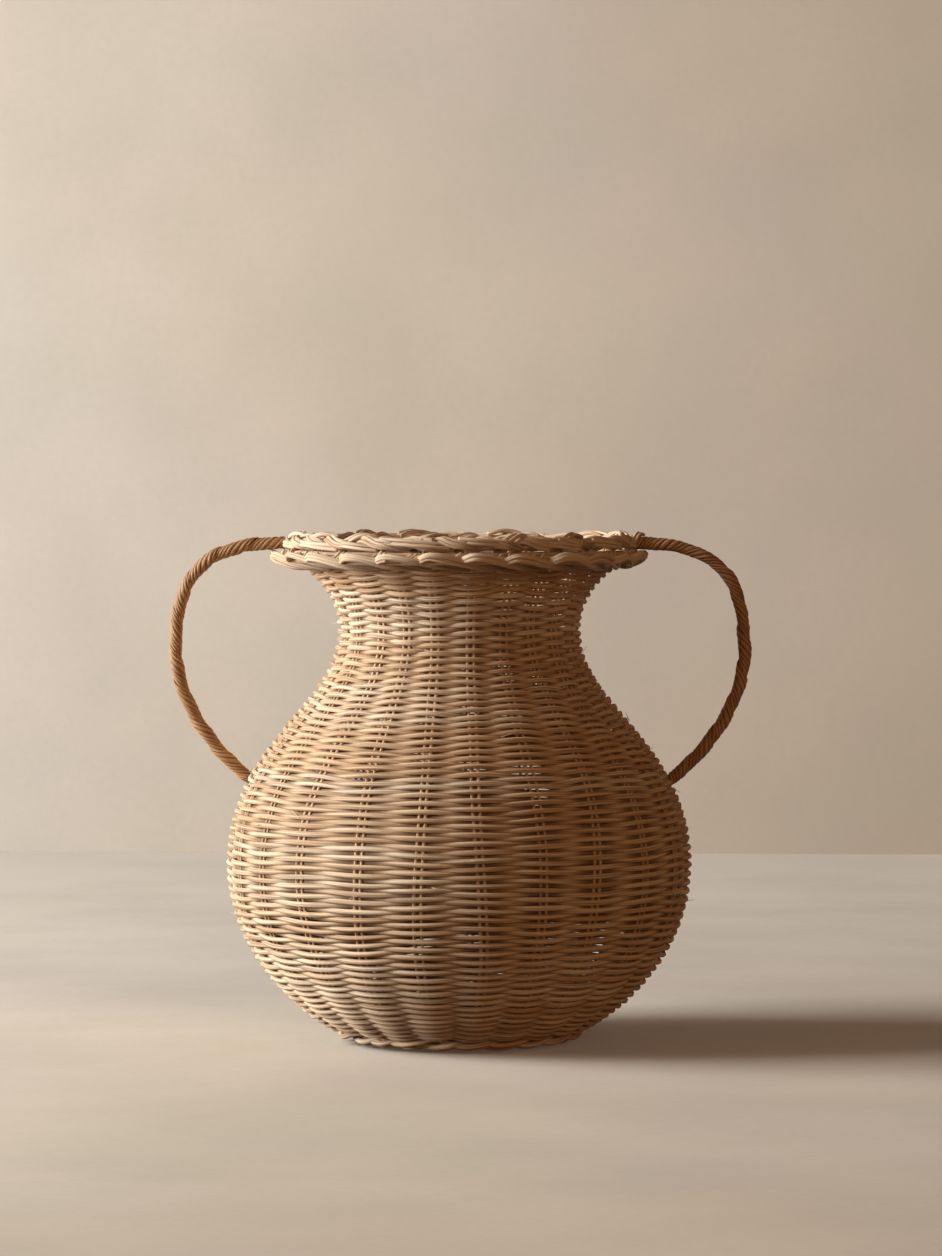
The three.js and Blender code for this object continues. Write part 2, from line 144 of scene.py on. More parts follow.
def wall_points(angle, run, depth):
    """Points of the wall, and the way out of it at each of them.

    They are given by an angle, a distance up the stake line and a depth out from that line.
    """
    radius = np.interp(run, stake_run, stake_line[:, 0])
    height = np.interp(run, stake_run, stake_line[:, 1])
    out_across = np.interp(run, stake_run, stake_slope[:, 1])
    out_up = -np.interp(run, stake_run, stake_slope[:, 0])
    reach = radius + depth * out_across
    points = np.stack([reach * np.cos(angle), reach * np.sin(angle), height + depth * out_up], axis=1)
    outward = np.stack([out_across * np.cos(angle), out_across * np.sin(angle), out_up], axis=1)
    return points, outward


def column_angle(column, run):
    """The angle of a stake, or of a place between two, which wanders a little on its way up the wall."""
    turn = column * STAKE_SPACING
    wander = 0.013 * np.sin(5 * turn + 21 * run + 0.7) + 0.010 * np.sin(8 * turn - 33 * run + 2.1)
    return (column - 0.25) * STAKE_SPACING + wander


def ease(share):
    """A share from 0 to 1 that starts and ends softly."""
    share = np.clip(share, 0, 1)
    return share * share * (3 - 2 * share)


def drift(places, step, rng):
    """A smooth random wander between -1 and 1 along a cane, with a new value at every step."""
    share = (places - places.min()) / step
    whole = share.astype(int)
    blend = ease(share - whole)
    values = rng.uniform(-1, 1, whole.max() + 2)
    return values[whole] * (1 - blend) + values[whole + 1] * blend


def set_out(name, data):
    """A new thing in the scene: a mesh, a lamp or a camera."""
    thing = bpy.data.objects.new(name, data)
    bpy.context.scene.collection.objects.link(thing)
    return thing


class Canes:
    """The canes of one piece: lines of points swept by a round section, with a cut face at both ends."""

    def __init__(self, sides=8):
        self.sides = sides
        self.corner = np.arange(sides)
        self.rings = []  # the points round each cane, step by step
        self.lengths = []  # how far along the cane each step is
        self.tints = []
        self.painted_shades = []

    def add(self, points, outward, radius, tint, painted_shade=0.0):
        """A cane along points. Outward is the way its face looks, and its seam lies on the other side.

        Where other canes cover its face, its colour is darkened by a share given with it, as painted shade.
        """
        along = unit(np.gradient(points, axis=0))
        face = unit(outward - np.sum(outward * along, axis=1)[:, None] * along)
        side = np.cross(along, face)
        turn = math.pi + 2 * math.pi * self.corner / self.sides
        reach = np.broadcast_to(radius, len(points))[:, None, None]
        ring = face[:, None] * np.cos(turn)[:, None] + side[:, None] * np.sin(turn)[:, None]
        # The painted shade is strongest on the face and weakest at the seam.
        covered = np.broadcast_to(painted_shade, len(points))[:, None] * (0.6 + 0.4 * np.cos(turn))
        self.rings.append(points[:, None] + reach * ring)
        self.lengths.append(run_along(points))
        self.tints.append(np.full(covered.size, tint))
        self.painted_shades.append(covered.ravel())

    def faces(self):
        """Four-sided faces along each cane, and then the cut face at each of its ends."""
        faces = []
        first = 0
        for rings in self.rings:
            starts = first + np.arange(len(rings))[:, None] * self.sides
            here = starts[:-1] + self.corner
            there = starts[:-1] + (self.corner + 1) % self.sides
            quads = np.stack([here, there, there + self.sides, here + self.sides], axis=2)
            faces.extend(quads.reshape(-1, 4).tolist())
            faces.append((starts[0] + self.corner[::-1]).tolist())
            faces.append((starts[-1] + self.corner).tolist())
            first += len(rings) * self.sides
        return faces

    def around(self):
        """How far round its cane each corner of a four-sided face lies."""
        return np.stack([self.corner, self.corner + 1, self.corner + 1, self.corner], axis=1) / self.sides

    def grain(self):
        """How far along its cane and how far round it each corner of each face lies."""
        spots = []
        for length in self.lengths:
            along = np.stack([length[:-1], length[:-1], length[1:], length[1:]], axis=1)[:, None]
            spots.append(np.stack(np.broadcast_arrays(along, self.around()), axis=3).reshape(-1, 2))
            for end in (0.0, length[-1]):
                spots.append(np.stack([np.full(self.sides, end), self.corner / self.sides], axis=1))
        return np.concatenate(spots)

    def layout(self):
        """Where each corner of each face lies on a flat sheet for baking, with the canes row above row.

        Each step along a cane takes a cell of a row, and so does each cut face.
        """
        margin = 0.04  # kept free above and below each row
        cap_reach = 0.42  # of a cut face in its cell
        girth = np.mean([np.linalg.norm(rings[0, 1] - rings[0, 0]) for rings in self.rings]) * self.sides
        rows = max(1, round(math.sqrt(sum(length[-1] for length in self.lengths) / girth)))
        row_cells = math.ceil(sum(len(rings) + 1 for rings in self.rings) / rows)
        turn = 2 * math.pi * self.corner / self.sides
        cap = cap_reach * np.stack([np.cos(turn), np.sin(turn)], axis=1)
        spots = []
        cell = 0
        for rings in self.rings:
            order = cell + np.arange(len(rings) - 1)[:, None, None]
            across = (order % row_cells + np.array([0, 0, 1, 1])) / row_cells
            up = (order // row_cells + margin + (1 - 2 * margin) * self.around()) / rows
            spots.append(np.stack(np.broadcast_arrays(across, up), axis=3).reshape(-1, 2))
            cell += len(rings) + 1
            for cap_cell in (cell - 2, cell - 1):
                middle = np.array([cap_cell % row_cells + 0.5, cap_cell // row_cells + 0.5])
                spots.append((middle + cap) / (row_cells, rows))
        return np.concatenate(spots)

    def build(self, name):
        """One mesh of all the canes."""
        faces = self.faces()
        mesh = bpy.data.meshes.new(name)
        mesh.from_pydata(np.concatenate([rings.reshape(-1, 3) for rings in self.rings]), [], faces)
        mesh.polygons.foreach_set("use_smooth", [len(face) == 4 for face in faces])
        for label, values in (("tint", self.tints), ("painted_shade", self.painted_shades)):
            mesh.attributes.new(label, "FLOAT", "POINT").data.foreach_set("value", np.concatenate(values))
        for label, spots in (("cane", self.grain()), ("OFBake", self.layout())):
            mesh.uv_layers.new(name=label).uv.foreach_set("vector", spots.ravel())
        return set_out(name, mesh)


class Value:
    """An output of a shader node. Sums on it add Math nodes."""

    def __init__(self, socket):
        self.socket = socket

    def math(self, operation, first, second):
        """A Math node that takes two values or numbers."""
        node = self.socket.id_data.nodes.new("ShaderNodeMath")
        node.operation = operation
        feed(node.inputs[0], first)
        feed(node.inputs[1], second)
        return Value(node.outputs[0])

    def __add__(self, other):
        return self.math("ADD", self, other)

    def __radd__(self, other):
        return self.math("ADD", other, self)

    def __sub__(self, other):
        return self.math("SUBTRACT", self, other)

    def __rsub__(self, other):
        return self.math("SUBTRACT", other, self)

    def __mul__(self, other):
        return self.math("MULTIPLY", self, other)

    def __rmul__(self, other):
        return self.math("MULTIPLY", other, self)


def feed(socket, given):
    """Links a value to a socket, or sets a plain number or colour on it."""
    if isinstance(given, Value):
        socket.id_data.links.new(given.socket, socket)
    else:
        socket.default_value = given


class Finish:
    """A material whose nodes are added one by one round its main shader."""

    def __init__(self, name):
        self.material = bpy.data.materials.new(name)
        self.material.use_nodes = True
        self.shader = self.material.node_tree.nodes["Principled BSDF"]

    def node(self, kind, settings, inputs, result=0):
        """One output of any node. Its settings come first, then the values or links of its sockets."""
        node = self.material.node_tree.nodes.new(kind)
        for setting, given in settings.items():
            setattr(node, setting, given)
        for socket, given in inputs.items():
            feed(node.inputs[socket], given)
        return Value(node.outputs[result])

    def mix(self, factor, first, second, blend="MIX"):
        """A mix of two colours. The node has many sockets of like names, so they go by number."""
        settings = {"data_type": "RGBA", "blend_type": blend}
        return self.node("ShaderNodeMix", settings, {0: factor, 6: first, 7: second}, 2)

    def span(self, value, low, high, start=0.0, end=1.0):
        """A value's place between low and high, as a share from start to end that stays between them."""
        ends = {"From Min": low, "From Max": high, "To Min": start, "To Max": end}
        return self.node("ShaderNodeMapRange", {}, {"Value": value, **ends})

    def noise(self, across, up, through, detail=3.0):
        """Soft noise at a place given by three values."""
        place = self.node("ShaderNodeCombineXYZ", {}, {"X": across, "Y": up, "Z": through})
        return self.node("ShaderNodeTexNoise", {}, {"Vector": place, "Scale": 1.0, "Detail": detail}, "Fac")

    def put(self, **inputs):
        """Feeds sockets of the main shader, whose names are written with _ for a space."""
        for socket, given in inputs.items():
            feed(self.shader.inputs[socket.replace("_", " ")], given)


def colour(red, green, blue):
    """A colour given as it looks on a screen, from 0 to 255, as the shader takes it."""
    levels = [level / 255 for level in (red, green, blue)]
    linear = [level / 12.92 if level <= 0.04045 else ((level + 0.055) / 1.055) ** 2.4 for level in levels]
    return (*linear, 1.0)


def dim(shade, share):
    """A colour at a share of its brightness."""
    return (*(share * level for level in shade[:3]), 1.0)


def cane_finish(name, pale, warm, deep, streak=0.74):
    """Bare round cane. Each length has its own shade, with long blotches, fine fibres and dark flecks."""
    grain_depth = 0.00014
    finish = Finish(name)
    tint = finish.node("ShaderNodeAttribute", {"attribute_name": "tint"}, {}, "Fac")
    painted_shade = finish.node("ShaderNodeAttribute", {"attribute_name": "painted_shade"}, {}, "Fac")
    place = finish.node("ShaderNodeUVMap", {"uv_map": "cane"}, {})
    along = finish.node("ShaderNodeSeparateXYZ", {}, {"Vector": place}, "X")
    around = finish.node("ShaderNodeSeparateXYZ", {}, {"Vector": place}, "Y")
    seed = tint * 91
    blotch = finish.noise(along * 9, around * 0.6, seed)
    fibre = finish.noise(along * 24, around * 13, seed + 7, 5.0)
    fleck = finish.noise(along * 210, around * 7, seed + 19, 2.0)
    blotched = finish.span(blotch, 0.47, 0.72, 0.0, 0.75)
    streaked = finish.span(fibre, 0.36, 0.55, streak, 0.0)
    pale_fibre_and_highlight = finish.span(fibre, 0.53, 0.66, 0.0, 0.55)
    flecked = finish.span(fleck, 0.68, 0.80)
    shade = finish.mix(tint, pale, warm)
    shade = finish.mix(blotched, shade, deep)
    shade = finish.mix(streaked, shade, dim(deep, 0.50))
    # Pale streaks along the fibres: partly the cane's own pale grain, partly painted highlight.
    shade = finish.mix(pale_fibre_and_highlight, shade, dim(pale, 1.10))
    # Painted shade: the cane is darkened where other canes cover it.
    shade = finish.mix(painted_shade * 0.92, shade, dim(deep, 0.32))
    shade = finish.mix(flecked * 0.5, shade, dim(deep, 0.35))
    height = fibre - flecked * 0.4
    bump = finish.node("ShaderNodeBump", {}, {"Strength": 1.0, "Distance": grain_depth, "Height": height})
    finish.put(Base_Color=shade, Roughness=0.80 - fibre * 0.22, Normal=bump)
    return finish.material


def dress(piece, material, slot, *nodes):
    """Gives a piece its finish, sets it on the vase and hides the plain solids that it stands for."""
    piece.data.materials.append(material)
    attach(piece, "root")
    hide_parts(*nodes)


def smooth_line(corners, steps):
    """A smooth line through a row of points, with a number of steps from each to the next."""
    corners = np.array(corners, dtype=float)
    ends = np.vstack([2 * corners[0] - corners[1], corners, 2 * corners[-1] - corners[-2]])
    share = np.linspace(0, 1, steps, endpoint=False)[:, None]
    spans = []
    for before, here, ahead, after in zip(ends, ends[1:], ends[2:], ends[3:]):
        bend = 2 * before - 5 * here + 4 * ahead - after
        lift = 3 * (here - ahead) + after - before
        spans.append(here + 0.5 * share * (ahead - before + share * (bend + share * lift)))
    return np.vstack([*spans, corners[-1:]])


def facing(way, points):
    """The same way for each of a row of points."""
    return np.tile(way, (len(points), 1))


def floor_spot(column, radius, height):
    """A place in the base, on the line from the middle to a stake."""
    angle = column_angle(column, 0.0)
    return (radius * math.cos(angle), radius * math.sin(angle), height)


def stake_wall(column):
    """The way of a pair up the wall, from the foot to its tip."""
    run = np.linspace(0, tip_run, STAKE_STEPS)
    return wall_points(column_angle(column, run), run, np.zeros_like(run))


def long_pair_way(first, last, heading, offset, level):
    """From a tip down the wall, across the base and up the far wall to the other tip."""
    reach = math.sqrt(CROSS_RADIUS ** 2 - offset ** 2)
    across = np.array([-heading[1], heading[0]]) * offset
    bends = [(*(across + sign * reach * np.array(heading)), level) for sign in (-1, 1)]
    spots = [
        floor_spot(first, FOOT_RADIUS, FOOT_HEIGHT),
        floor_spot(first, FAN_RADIUS, FOOT_HEIGHT),
        *bends,
        floor_spot(last, FAN_RADIUS, FOOT_HEIGHT),
        floor_spot(last, FOOT_RADIUS, FOOT_HEIGHT),
    ]
    floor = smooth_line(spots, 8)[1:-1]
    down_points, down_out = stake_wall(first)
    up_points, up_out = stake_wall(last)
    under = facing(DOWN, floor)
    return np.vstack([down_points[::-1], floor, up_points]), np.vstack([down_out[::-1], under, up_out])


def short_pair_way(column):
    """From its end in the base up the wall to its tip."""
    tuck = SHORT_PAIR_TUCK * np.array([1.0, 0.66, 0.33])
    start = np.array([floor_spot(column, FOOT_RADIUS - back, FOOT_HEIGHT) for back in tuck])
    points, out = stake_wall(column)
    return np.vstack([start, points]), np.vstack([facing(DOWN, start), out])


stake_ways = []
for number in range(PAIRS_ALONG_X):
    offset = (number - (PAIRS_ALONG_X - 1) / 2) * CROSS_PITCH
    left = FIRST_FRONT - 1 - number
    right = FIRST_RIGHT + number
    stake_ways.append(long_pair_way(left, right, (1, 0), offset, FOOT_HEIGHT))
for number in range(PAIRS_ALONG_Y):
    offset = ((PAIRS_ALONG_Y - 1) / 2 - number) * CROSS_PITCH
    front = FIRST_FRONT + number
    if front >= SHORT_PAIR:
        front += 1
    back = FIRST_LEFT - 1 - number
    stake_ways.append(long_pair_way(front, back, (0, 1), offset, UPPER_LAYER))
stake_ways.append(short_pair_way(SHORT_PAIR))

stake_finish = cane_finish(
    "stake cane",
    pale=colour(240, 215, 180),
    warm=colour(222, 188, 148),
    deep=colour(190, 146, 106),
)
stake_rng = np.random.default_rng(23)
for number, (way, out) in enumerate(stake_ways, start=1):
    pair = Canes()
    sideways = unit(np.cross(out, np.gradient(way, axis=0)))
    length = np.arange(len(way)) * STEP_LENGTH
    for hand in (-1, 1):
        apart = STAKE_APART / 2 + STAKE_STRAY * drift(length, 0.03, stake_rng)
        radius = STAKE_RADIUS * (1 + 0.08 * drift(length, 0.05, stake_rng))
        pair.add(way + hand * sideways * apart[:, None], out, radius, stake_rng.random())
    node = f"stake_pair_{number:02d}"
    dress(pair.build(f"{node}_canes"), stake_finish, "stakes", node)

# Base weave: rounds of cane that bind the crossed stakes into a flat base.
# Near the middle two canes pass the four groups of stakes, one under and one over, and cross between them.
# Farther out one cane goes over and under the single pairs, round after round, up to the foot.

WEAVER_RADIUS = 0.00144
WEAVE_DEPTH = 0.00148  # a weaver's middle, out from the stakes' middle, where the canes bed into each other
GROUP_ROUNDS = 3
GROUP_PITCH = 0.0029  # from one round to the next
GROUP_LIFT = 0.0032  # of a cane over or under the middle of a group
GROUP_RISE = 0.0012  # about half the height of the upper groups over the lower ones
BASE_ROUNDS = 6
BASE_PITCH = 0.0028
BASE_START = 0.002  # how far inside or outside its radius a set of rounds begins

weave_finish = cane_finish(
    "weaving cane",
    pale=colour(250, 231, 202),
    warm=colour(234, 198, 156),
    deep=colour(206, 160, 116),
)
base_rng = np.random.default_rng(5)
base_canes = Canes()


def ring_points(angle, radius, height):
    """Points round the axis, or ways that lead out from it and up."""
    return np.stack([radius * np.cos(angle), radius * np.sin(angle), height], axis=1)


def base_round(angle, radius, height, tint):
    """Rounds of cane in the base, with their faces down."""
    points = ring_points(angle, radius, height)
    base_canes.add(points, facing(DOWN, points), WEAVER_RADIUS, tint)


group_angle = np.linspace(0, GROUP_ROUNDS * 2 * math.pi, GROUP_ROUNDS * 120)
group_radius = CROSS_RADIUS + BASE_START + GROUP_PITCH * group_angle / (2 * math.pi)
group_height = FOOT_HEIGHT + GROUP_RISE * (1 - np.cos(2 * group_angle))
for hand in (-1, 1):
    lifted = group_height + GROUP_LIFT * hand * np.cos(2 * group_angle)
    base_round(group_angle, group_radius, np.maximum(lifted, WEAVER_RADIUS), base_rng.random())
base_column = np.arange(1, BASE_ROUNDS * STAKE_COUNT, 1 / 8)
base_radius = FAN_RADIUS - BASE_START + BASE_PITCH * base_column / STAKE_COUNT
base_height = FOOT_HEIGHT + WEAVE_DEPTH * np.cos(math.pi * base_column)
base_round(column_angle(base_column, 0.0), base_radius, base_height, base_rng.random())
base_weave = base_canes.build("base_weave_canes")
dress(base_weave, weave_finish, "weave", "base_weave_outside", "base_weave_inside")

# Upsett wale: heavier rounds at the foot, on which the vase stands.
# Three canes twist round the stakes together, each in front of two pairs and behind the next.
# They turn the stakes up from the base, and the lowest round lies on the floor.

WALE_WIDTH = 0.013
WALE_RADIUS = 0.00165
WALE_STRANDS = 3
WALE_ROUNDS = 2.2
WALE_START = 0.0016  # along the stakes
WALE_RISE = 0.0044  # in one round
WALE_DEPTH = 0.0007  # of its middle, out from the stakes
WALE_SWING = 0.0025  # out and in from there
WALE_LEAN = 0.0013  # up and down, as the strands twist

wale_rng = np.random.default_rng(11)
wale_canes = Canes()
for strand in range(WALE_STRANDS):
    column = np.arange(strand, WALE_ROUNDS * STAKE_COUNT + strand, 0.1)
    beat = 2 * math.pi * ((column - strand) % WALE_STRANDS - 1) / WALE_STRANDS
    run = WALE_START + WALE_RISE * (column + strand * STAKE_COUNT / WALE_STRANDS) / STAKE_COUNT
    run = np.clip(run + WALE_LEAN * np.sin(beat), 0, WALE_WIDTH)
    depth = WALE_DEPTH + WALE_SWING * np.cos(beat)
    points, out = wall_points(column_angle(column, run), run, depth)
    points[:, 2] = np.maximum(points[:, 2], WALE_RADIUS)
    wale_canes.add(points, out, WALE_RADIUS * (1 + 0.05 * drift(column, 4, wale_rng)), wale_rng.random())
dress(wale_canes.build("upsett_wale_canes"), weave_finish, "weave", "upsett_wale")

# Wall weave: one round cane after another goes over one pair of stakes and under the next, up the whole wall.
# The number of pairs is odd, so each row passes outside where the row below it passed inside.
# A new cane starts inside, behind a stake, beside the end of the last one.

ROW_PITCH = 0.00232
ROW_STRAY = 0.00020  # of a cane from its row, in short bends
ROW_SAG = 0.00016  # and in long ones
DEPTH_STRAY = 0.00022
CANE_LENGTHS = (2.2, 4.4)  # shortest and longest
TUCK_REACH = 0.45  # how far an end runs past its stake, in stakes
TUCK_DEPTH = 0.0014  # how far in it goes
TUCK_SHIFT = 0.45 * ROW_PITCH  # how far it gives way to the other end beside it
FIBRES = 18  # on each stretch of the wall
FIBRE_RADIUS = 0.00023
FIBRE_LENGTHS = (0.005, 0.013)
SEAT_HEIGHT = 0.143  # of the handles' lower ends
PART_GAP = 0.0026  # how far the rows part round them
PART_WIDTH = 0.006
PART_HEIGHT = 0.007
PART_EDGE = 0.0006
STEPS_PER_STAKE = 10
stretch_tops = {
    "lower_weave": (WALE_WIDTH + belly_run) / 2,
    "belly_weave": belly_run,
    "shoulder_weave": (belly_run + neck_run) / 2,
    "neck_weave": neck_run,
    "flare_weave": rim_run - WEAVER_RADIUS,
}
shoulder_places = slice(len(foot_curve), len(foot_curve) + len(shoulder_curve))
seat_run = np.interp(SEAT_HEIGHT, stake_line[shoulder_places, 1], stake_run[shoulder_places])


def weave_run(column):
    """How far up the wall the weaving has come after passing a number of stakes."""
    return WALE_WIDTH + WEAVER_RADIUS + ROW_PITCH * column / STAKE_COUNT


def odd_column(run):
    """The stake nearest to a distance up the wall that the cane passes on the inside."""
    column = (run - WALE_WIDTH - WEAVER_RADIUS) * STAKE_COUNT / ROW_PITCH
    return 2 * round((column - 1) / 2) + 1


def row_waver(angle, run):
    """Rows rise and dip together a little, and part round the handles' lower ends."""
    waver = 0.00055 * np.sin(3 * angle + 55 * run + 0.4) + 0.00045 * np.sin(7 * angle - 80 * run + 1.9)
    waver = waver + 0.00025 * np.sin(13 * angle + 140 * run)
    beside = np.sin(angle) * BELLY_RADIUS
    above = run - seat_run
    part = np.exp(-(beside / PART_WIDTH) ** 2 - np.abs(above) / PART_HEIGHT)
    return waver + PART_GAP * part * np.tanh(above / PART_EDGE)


def weaver(canes, start, end, rng):
    """One length of cane, from one stake to another. Both ends are tucked in beside the next length."""
    column = np.arange(start - TUCK_REACH, end + TUCK_REACH, 1 / STEPS_PER_STAKE)
    tuck_in = 1 - ease((column - start + TUCK_REACH) / (2 * TUCK_REACH))
    tuck_out = 1 - ease((end + TUCK_REACH - column) / (2 * TUCK_REACH))
    swing = np.cos(math.pi * column)
    run = weave_run(column) + TUCK_SHIFT * (tuck_in - tuck_out)
    run = run + ROW_STRAY * drift(column, 2.3, rng) + ROW_SAG * drift(column, 11, rng)
    angle = column_angle(column, run)
    depth = WEAVE_DEPTH * swing - TUCK_DEPTH * (tuck_in + tuck_out)
    depth = depth + DEPTH_STRAY * drift(column, 1.7, rng)
    points, out = wall_points(angle, run + row_waver(angle, run), depth)
    gauge = rng.uniform(0.93, 1.05) * (0.96 + 0.04 * np.abs(swing)) * (1 + 0.05 * drift(column, 5, rng))
    gauge = gauge * (1 + 0.06 * ease((run - neck_run) / 0.015))
    warmth = ease(abs(run.mean() - belly_run) / 0.08)
    band = 0.34 + 0.26 * math.sin(114 * run.mean() + 3.66) + 0.30 * warmth
    tint = np.clip(band + rng.uniform(-0.42, 0.42), 0, 1)
    # Where it passes inside, behind the stakes, it gets painted shade.
    canes.add(points, out, WEAVER_RADIUS * gauge, tint, ease(0.25 - 0.75 * swing))


def loose_fibre(canes, column, rng):
    """A thin fibre that has split from a cane and stands off the wall."""
    run = weave_run(column)
    length = rng.uniform(*FIBRE_LENGTHS)
    share = np.linspace(0, 1, 6)
    angle = column_angle(column, run) + rng.choice((-1, 1)) * share * length / BELLY_RADIUS
    depth = WEAVE_DEPTH + WEAVER_RADIUS * 0.8 + rng.uniform(0.1, 0.45) * length * share ** 1.5
    points, out = wall_points(angle, run + rng.uniform(-0.5, 0.7) * length * share, depth)
    canes.add(points, out, FIBRE_RADIUS * (1 - 0.6 * share), 0.3 * rng.random())


weave_rng = np.random.default_rng(41)
cut = odd_column(WALE_WIDTH + WEAVER_RADIUS)
for node, top in stretch_tops.items():
    canes = Canes()
    first = cut
    last = odd_column(top)
    while cut < last:
        radius = np.interp(weave_run(cut), stake_run, stake_line[:, 0])
        ahead = cut + 2 * round(weave_rng.uniform(*CANE_LENGTHS) / (radius * STAKE_SPACING) / 2)
        if ahead > last - 2 * STAKE_COUNT:
            ahead = last
        weaver(canes, cut, ahead, weave_rng)
        cut = ahead
    for _ in range(FIBRES):
        loose_fibre(canes, weave_rng.uniform(first, last), weave_rng)
    dress(canes.build(f"{node}_canes"), weave_finish, "weave", node)

# Border, lower tier: a row of loops under the rim, outside the wall.
# At each pair three canes come out under the rim, bend over in a knuckle and tuck in under the next loop.
# Thin cut ends of cane stand up between the two tiers.

LOOP_CANE_RADIUS = 0.00112
LOOP_CANES = 3
TIER_GAP_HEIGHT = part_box("lower_border")[1][2]
CROWDING = 0.13  # of the loops at the front
CUT_END_REACH = (0.0974, 0.0992)  # smallest and largest
CUT_END_RISE = (0.0030, 0.0052)
CUT_END_RADIUS = (0.00050, 0.00085)
CUT_END_LEAN = 0.0020
CUT_END_DEPTH = 0.0014  # of its lower end, under the tier's top
ROUND_STEPS = 161
UP = (0.0, 0.0, 1.0)
loop_corners = [  # stakes on from the loop's own pair, radius, and height over the tier's top
    (-0.14, 0.0935, -0.0024),
    (-0.19, 0.0972, -0.0018),
    (-0.13, 0.1005, -0.0009),
    (0.04, 0.1023, 0.0004),
    (0.30, 0.1022, -0.0001),
    (0.64, 0.1002, -0.0018),
    (1.00, 0.0970, -0.0036),
    (1.35, 0.0935, -0.0049),
    (1.70, 0.0903, -0.0056),
    (1.95, 0.0880, -0.0058),
]
loop_middle = (0.0885, TIER_GAP_HEIGHT - 0.0030)  # radius and height of what the loops bend round

border_finish = cane_finish(
    "border cane",
    pale=colour(246, 227, 199),
    warm=colour(232, 204, 169),
    deep=colour(204, 162, 124),
    streak=0.5,
)
border_rng = np.random.default_rng(3)


def border_angle(column):
    """The loops crowd together a little at the front and spread out at the back."""
    angle = (column - 0.25) * STAKE_SPACING
    front = angle + math.pi / 2
    return angle - CROWDING * np.sin(front)


def bundle(canes, way, face, radius, count, spread, cut_share, rng, painted_shade=0.0):
    """Canes side by side along a way, the middle ones a little proud. Some are cut off half way."""
    across = unit(np.cross(np.gradient(way, axis=0), face))
    place = np.arange(len(way), dtype=float)
    # Painted shade along the bundle, where other canes cover it.
    covered = np.broadcast_to(painted_shade, len(way))
    for number in range(count):
        side = number - (count - 1) / 2
        shift = spread * side + 0.30 * radius * drift(place, 9, rng)
        proud = radius * (0.60 - 0.60 * abs(side)) + 0.35 * radius * drift(place, 11, rng)
        points = way + across * shift[:, None] + face * proud[:, None]
        start = rng.integers(0, 3)
        end = len(way)
        if rng.random() < cut_share:
            end = round(end * rng.uniform(0.34, 0.50))
        gauge = radius * rng.uniform(0.86, 1.08)
        canes.add(points[start:end], face[start:end], gauge, rng.random(), covered[start:end])


lower_canes = Canes()
for loop in range(STAKE_COUNT):
    corners = np.array(loop_corners)
    corners[:, 0] += border_rng.uniform(-0.10, 0.10)
    corners[2:6, 1] += border_rng.uniform(-0.0006, 0.0007)
    corners[1:7, 2] += border_rng.uniform(-0.0006, 0.0005)
    line = smooth_line(corners, 6)
    angle = border_angle(loop + line[:, 0])
    height = TIER_GAP_HEIGHT + line[:, 2]
    way = ring_points(angle, line[:, 1], height)
    face = unit(ring_points(angle, line[:, 1] - loop_middle[0], height - loop_middle[1]))
    spread = 0.00080 + 0.00060 * ease(np.linspace(-0.1, 2.6, len(way)))
    # Painted shade darkens the loop's tail, where it runs under the next loop.
    tucked = 0.85 * ease(np.linspace(-1.1, 1.0, len(way)))
    bundle(lower_canes, way, face, LOOP_CANE_RADIUS, LOOP_CANES, spread, 0.05, border_rng, tucked)
    for _ in range(border_rng.integers(2, 5)):
        share = np.linspace(0, 1, 5)
        place = loop + border_rng.uniform(0.25, 0.80) + border_rng.uniform(0.12, 0.26) * share
        reach = border_rng.uniform(*CUT_END_REACH) - CUT_END_LEAN * share
        height = TIER_GAP_HEIGHT - CUT_END_DEPTH + border_rng.uniform(*CUT_END_RISE) * share
        cut_end = ring_points(border_angle(place), reach, height)
        gauge = border_rng.uniform(*CUT_END_RADIUS)
        lower_canes.add(cut_end, facing(UP, cut_end), gauge, border_rng.random())

# Behind the loops four rounds of the bent ends close the wall up to the upper tier.
# Three more lie in the loops.
round_place = np.linspace(0, STAKE_COUNT, ROUND_STEPS)
round_spots = [(0.0884 + 0.0010 * layer, 0.0019 * layer - 0.0039) for layer in range(4)]
round_spots += [(0.0939 + 0.0021 * layer, -0.0026) for layer in range(3)]
for spot_radius, spot_height in round_spots:
    reach = spot_radius + 0.0005 * drift(round_place, 1.9, border_rng)
    height = TIER_GAP_HEIGHT + spot_height + 0.0004 * drift(round_place, 1.3, border_rng)
    way = ring_points(border_angle(round_place), reach, height)
    lower_canes.add(way, facing(UP, way), LOOP_CANE_RADIUS, border_rng.random())
dress(lower_canes.build("lower_border_canes"), border_finish, "border", "lower_border")

# Border, upper tier: a plait of three bundles of thin cane, which finishes the rim.
# At each pair three or four canes come up in the middle of the plait, go out over its edge, back through it
# and in over the other edge. There they are cut off, and the bundle of the third pair on takes their place.

PLAIT_CANE_RADIUS = 0.00108
PLAIT_STAKES = 3  # pairs that a bundle passes on its way
PLAIT_REACH = 0.0052
PLAIT_RISE = 0.0024
PLAIT_SPREAD = 0.00174  # between the canes of a bundle
PLAIT_WAVES = 1.13  # about the height of the two waves in a bundle's way together
LOOSE_PAIRS = 13  # of each kind
LOOSE_SPREAD = 0.00190
FILL_CANES = 6
FILL_RADIUS = 0.00085
FILL_REACH = 0.0021
FILL_RISE = 0.0018
rim_low, rim_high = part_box("upper_border")
plait_height = (rim_low[2] + rim_high[2]) / 2 + 0.0002
plait_turn = np.radians(np.linspace(-50, 325, 64))
# Painted shade darkens each bundle where it dips under the others.
plait_cover_shade = 0.8 * ease(-0.1 - 0.9 * np.sin(2 * plait_turn))


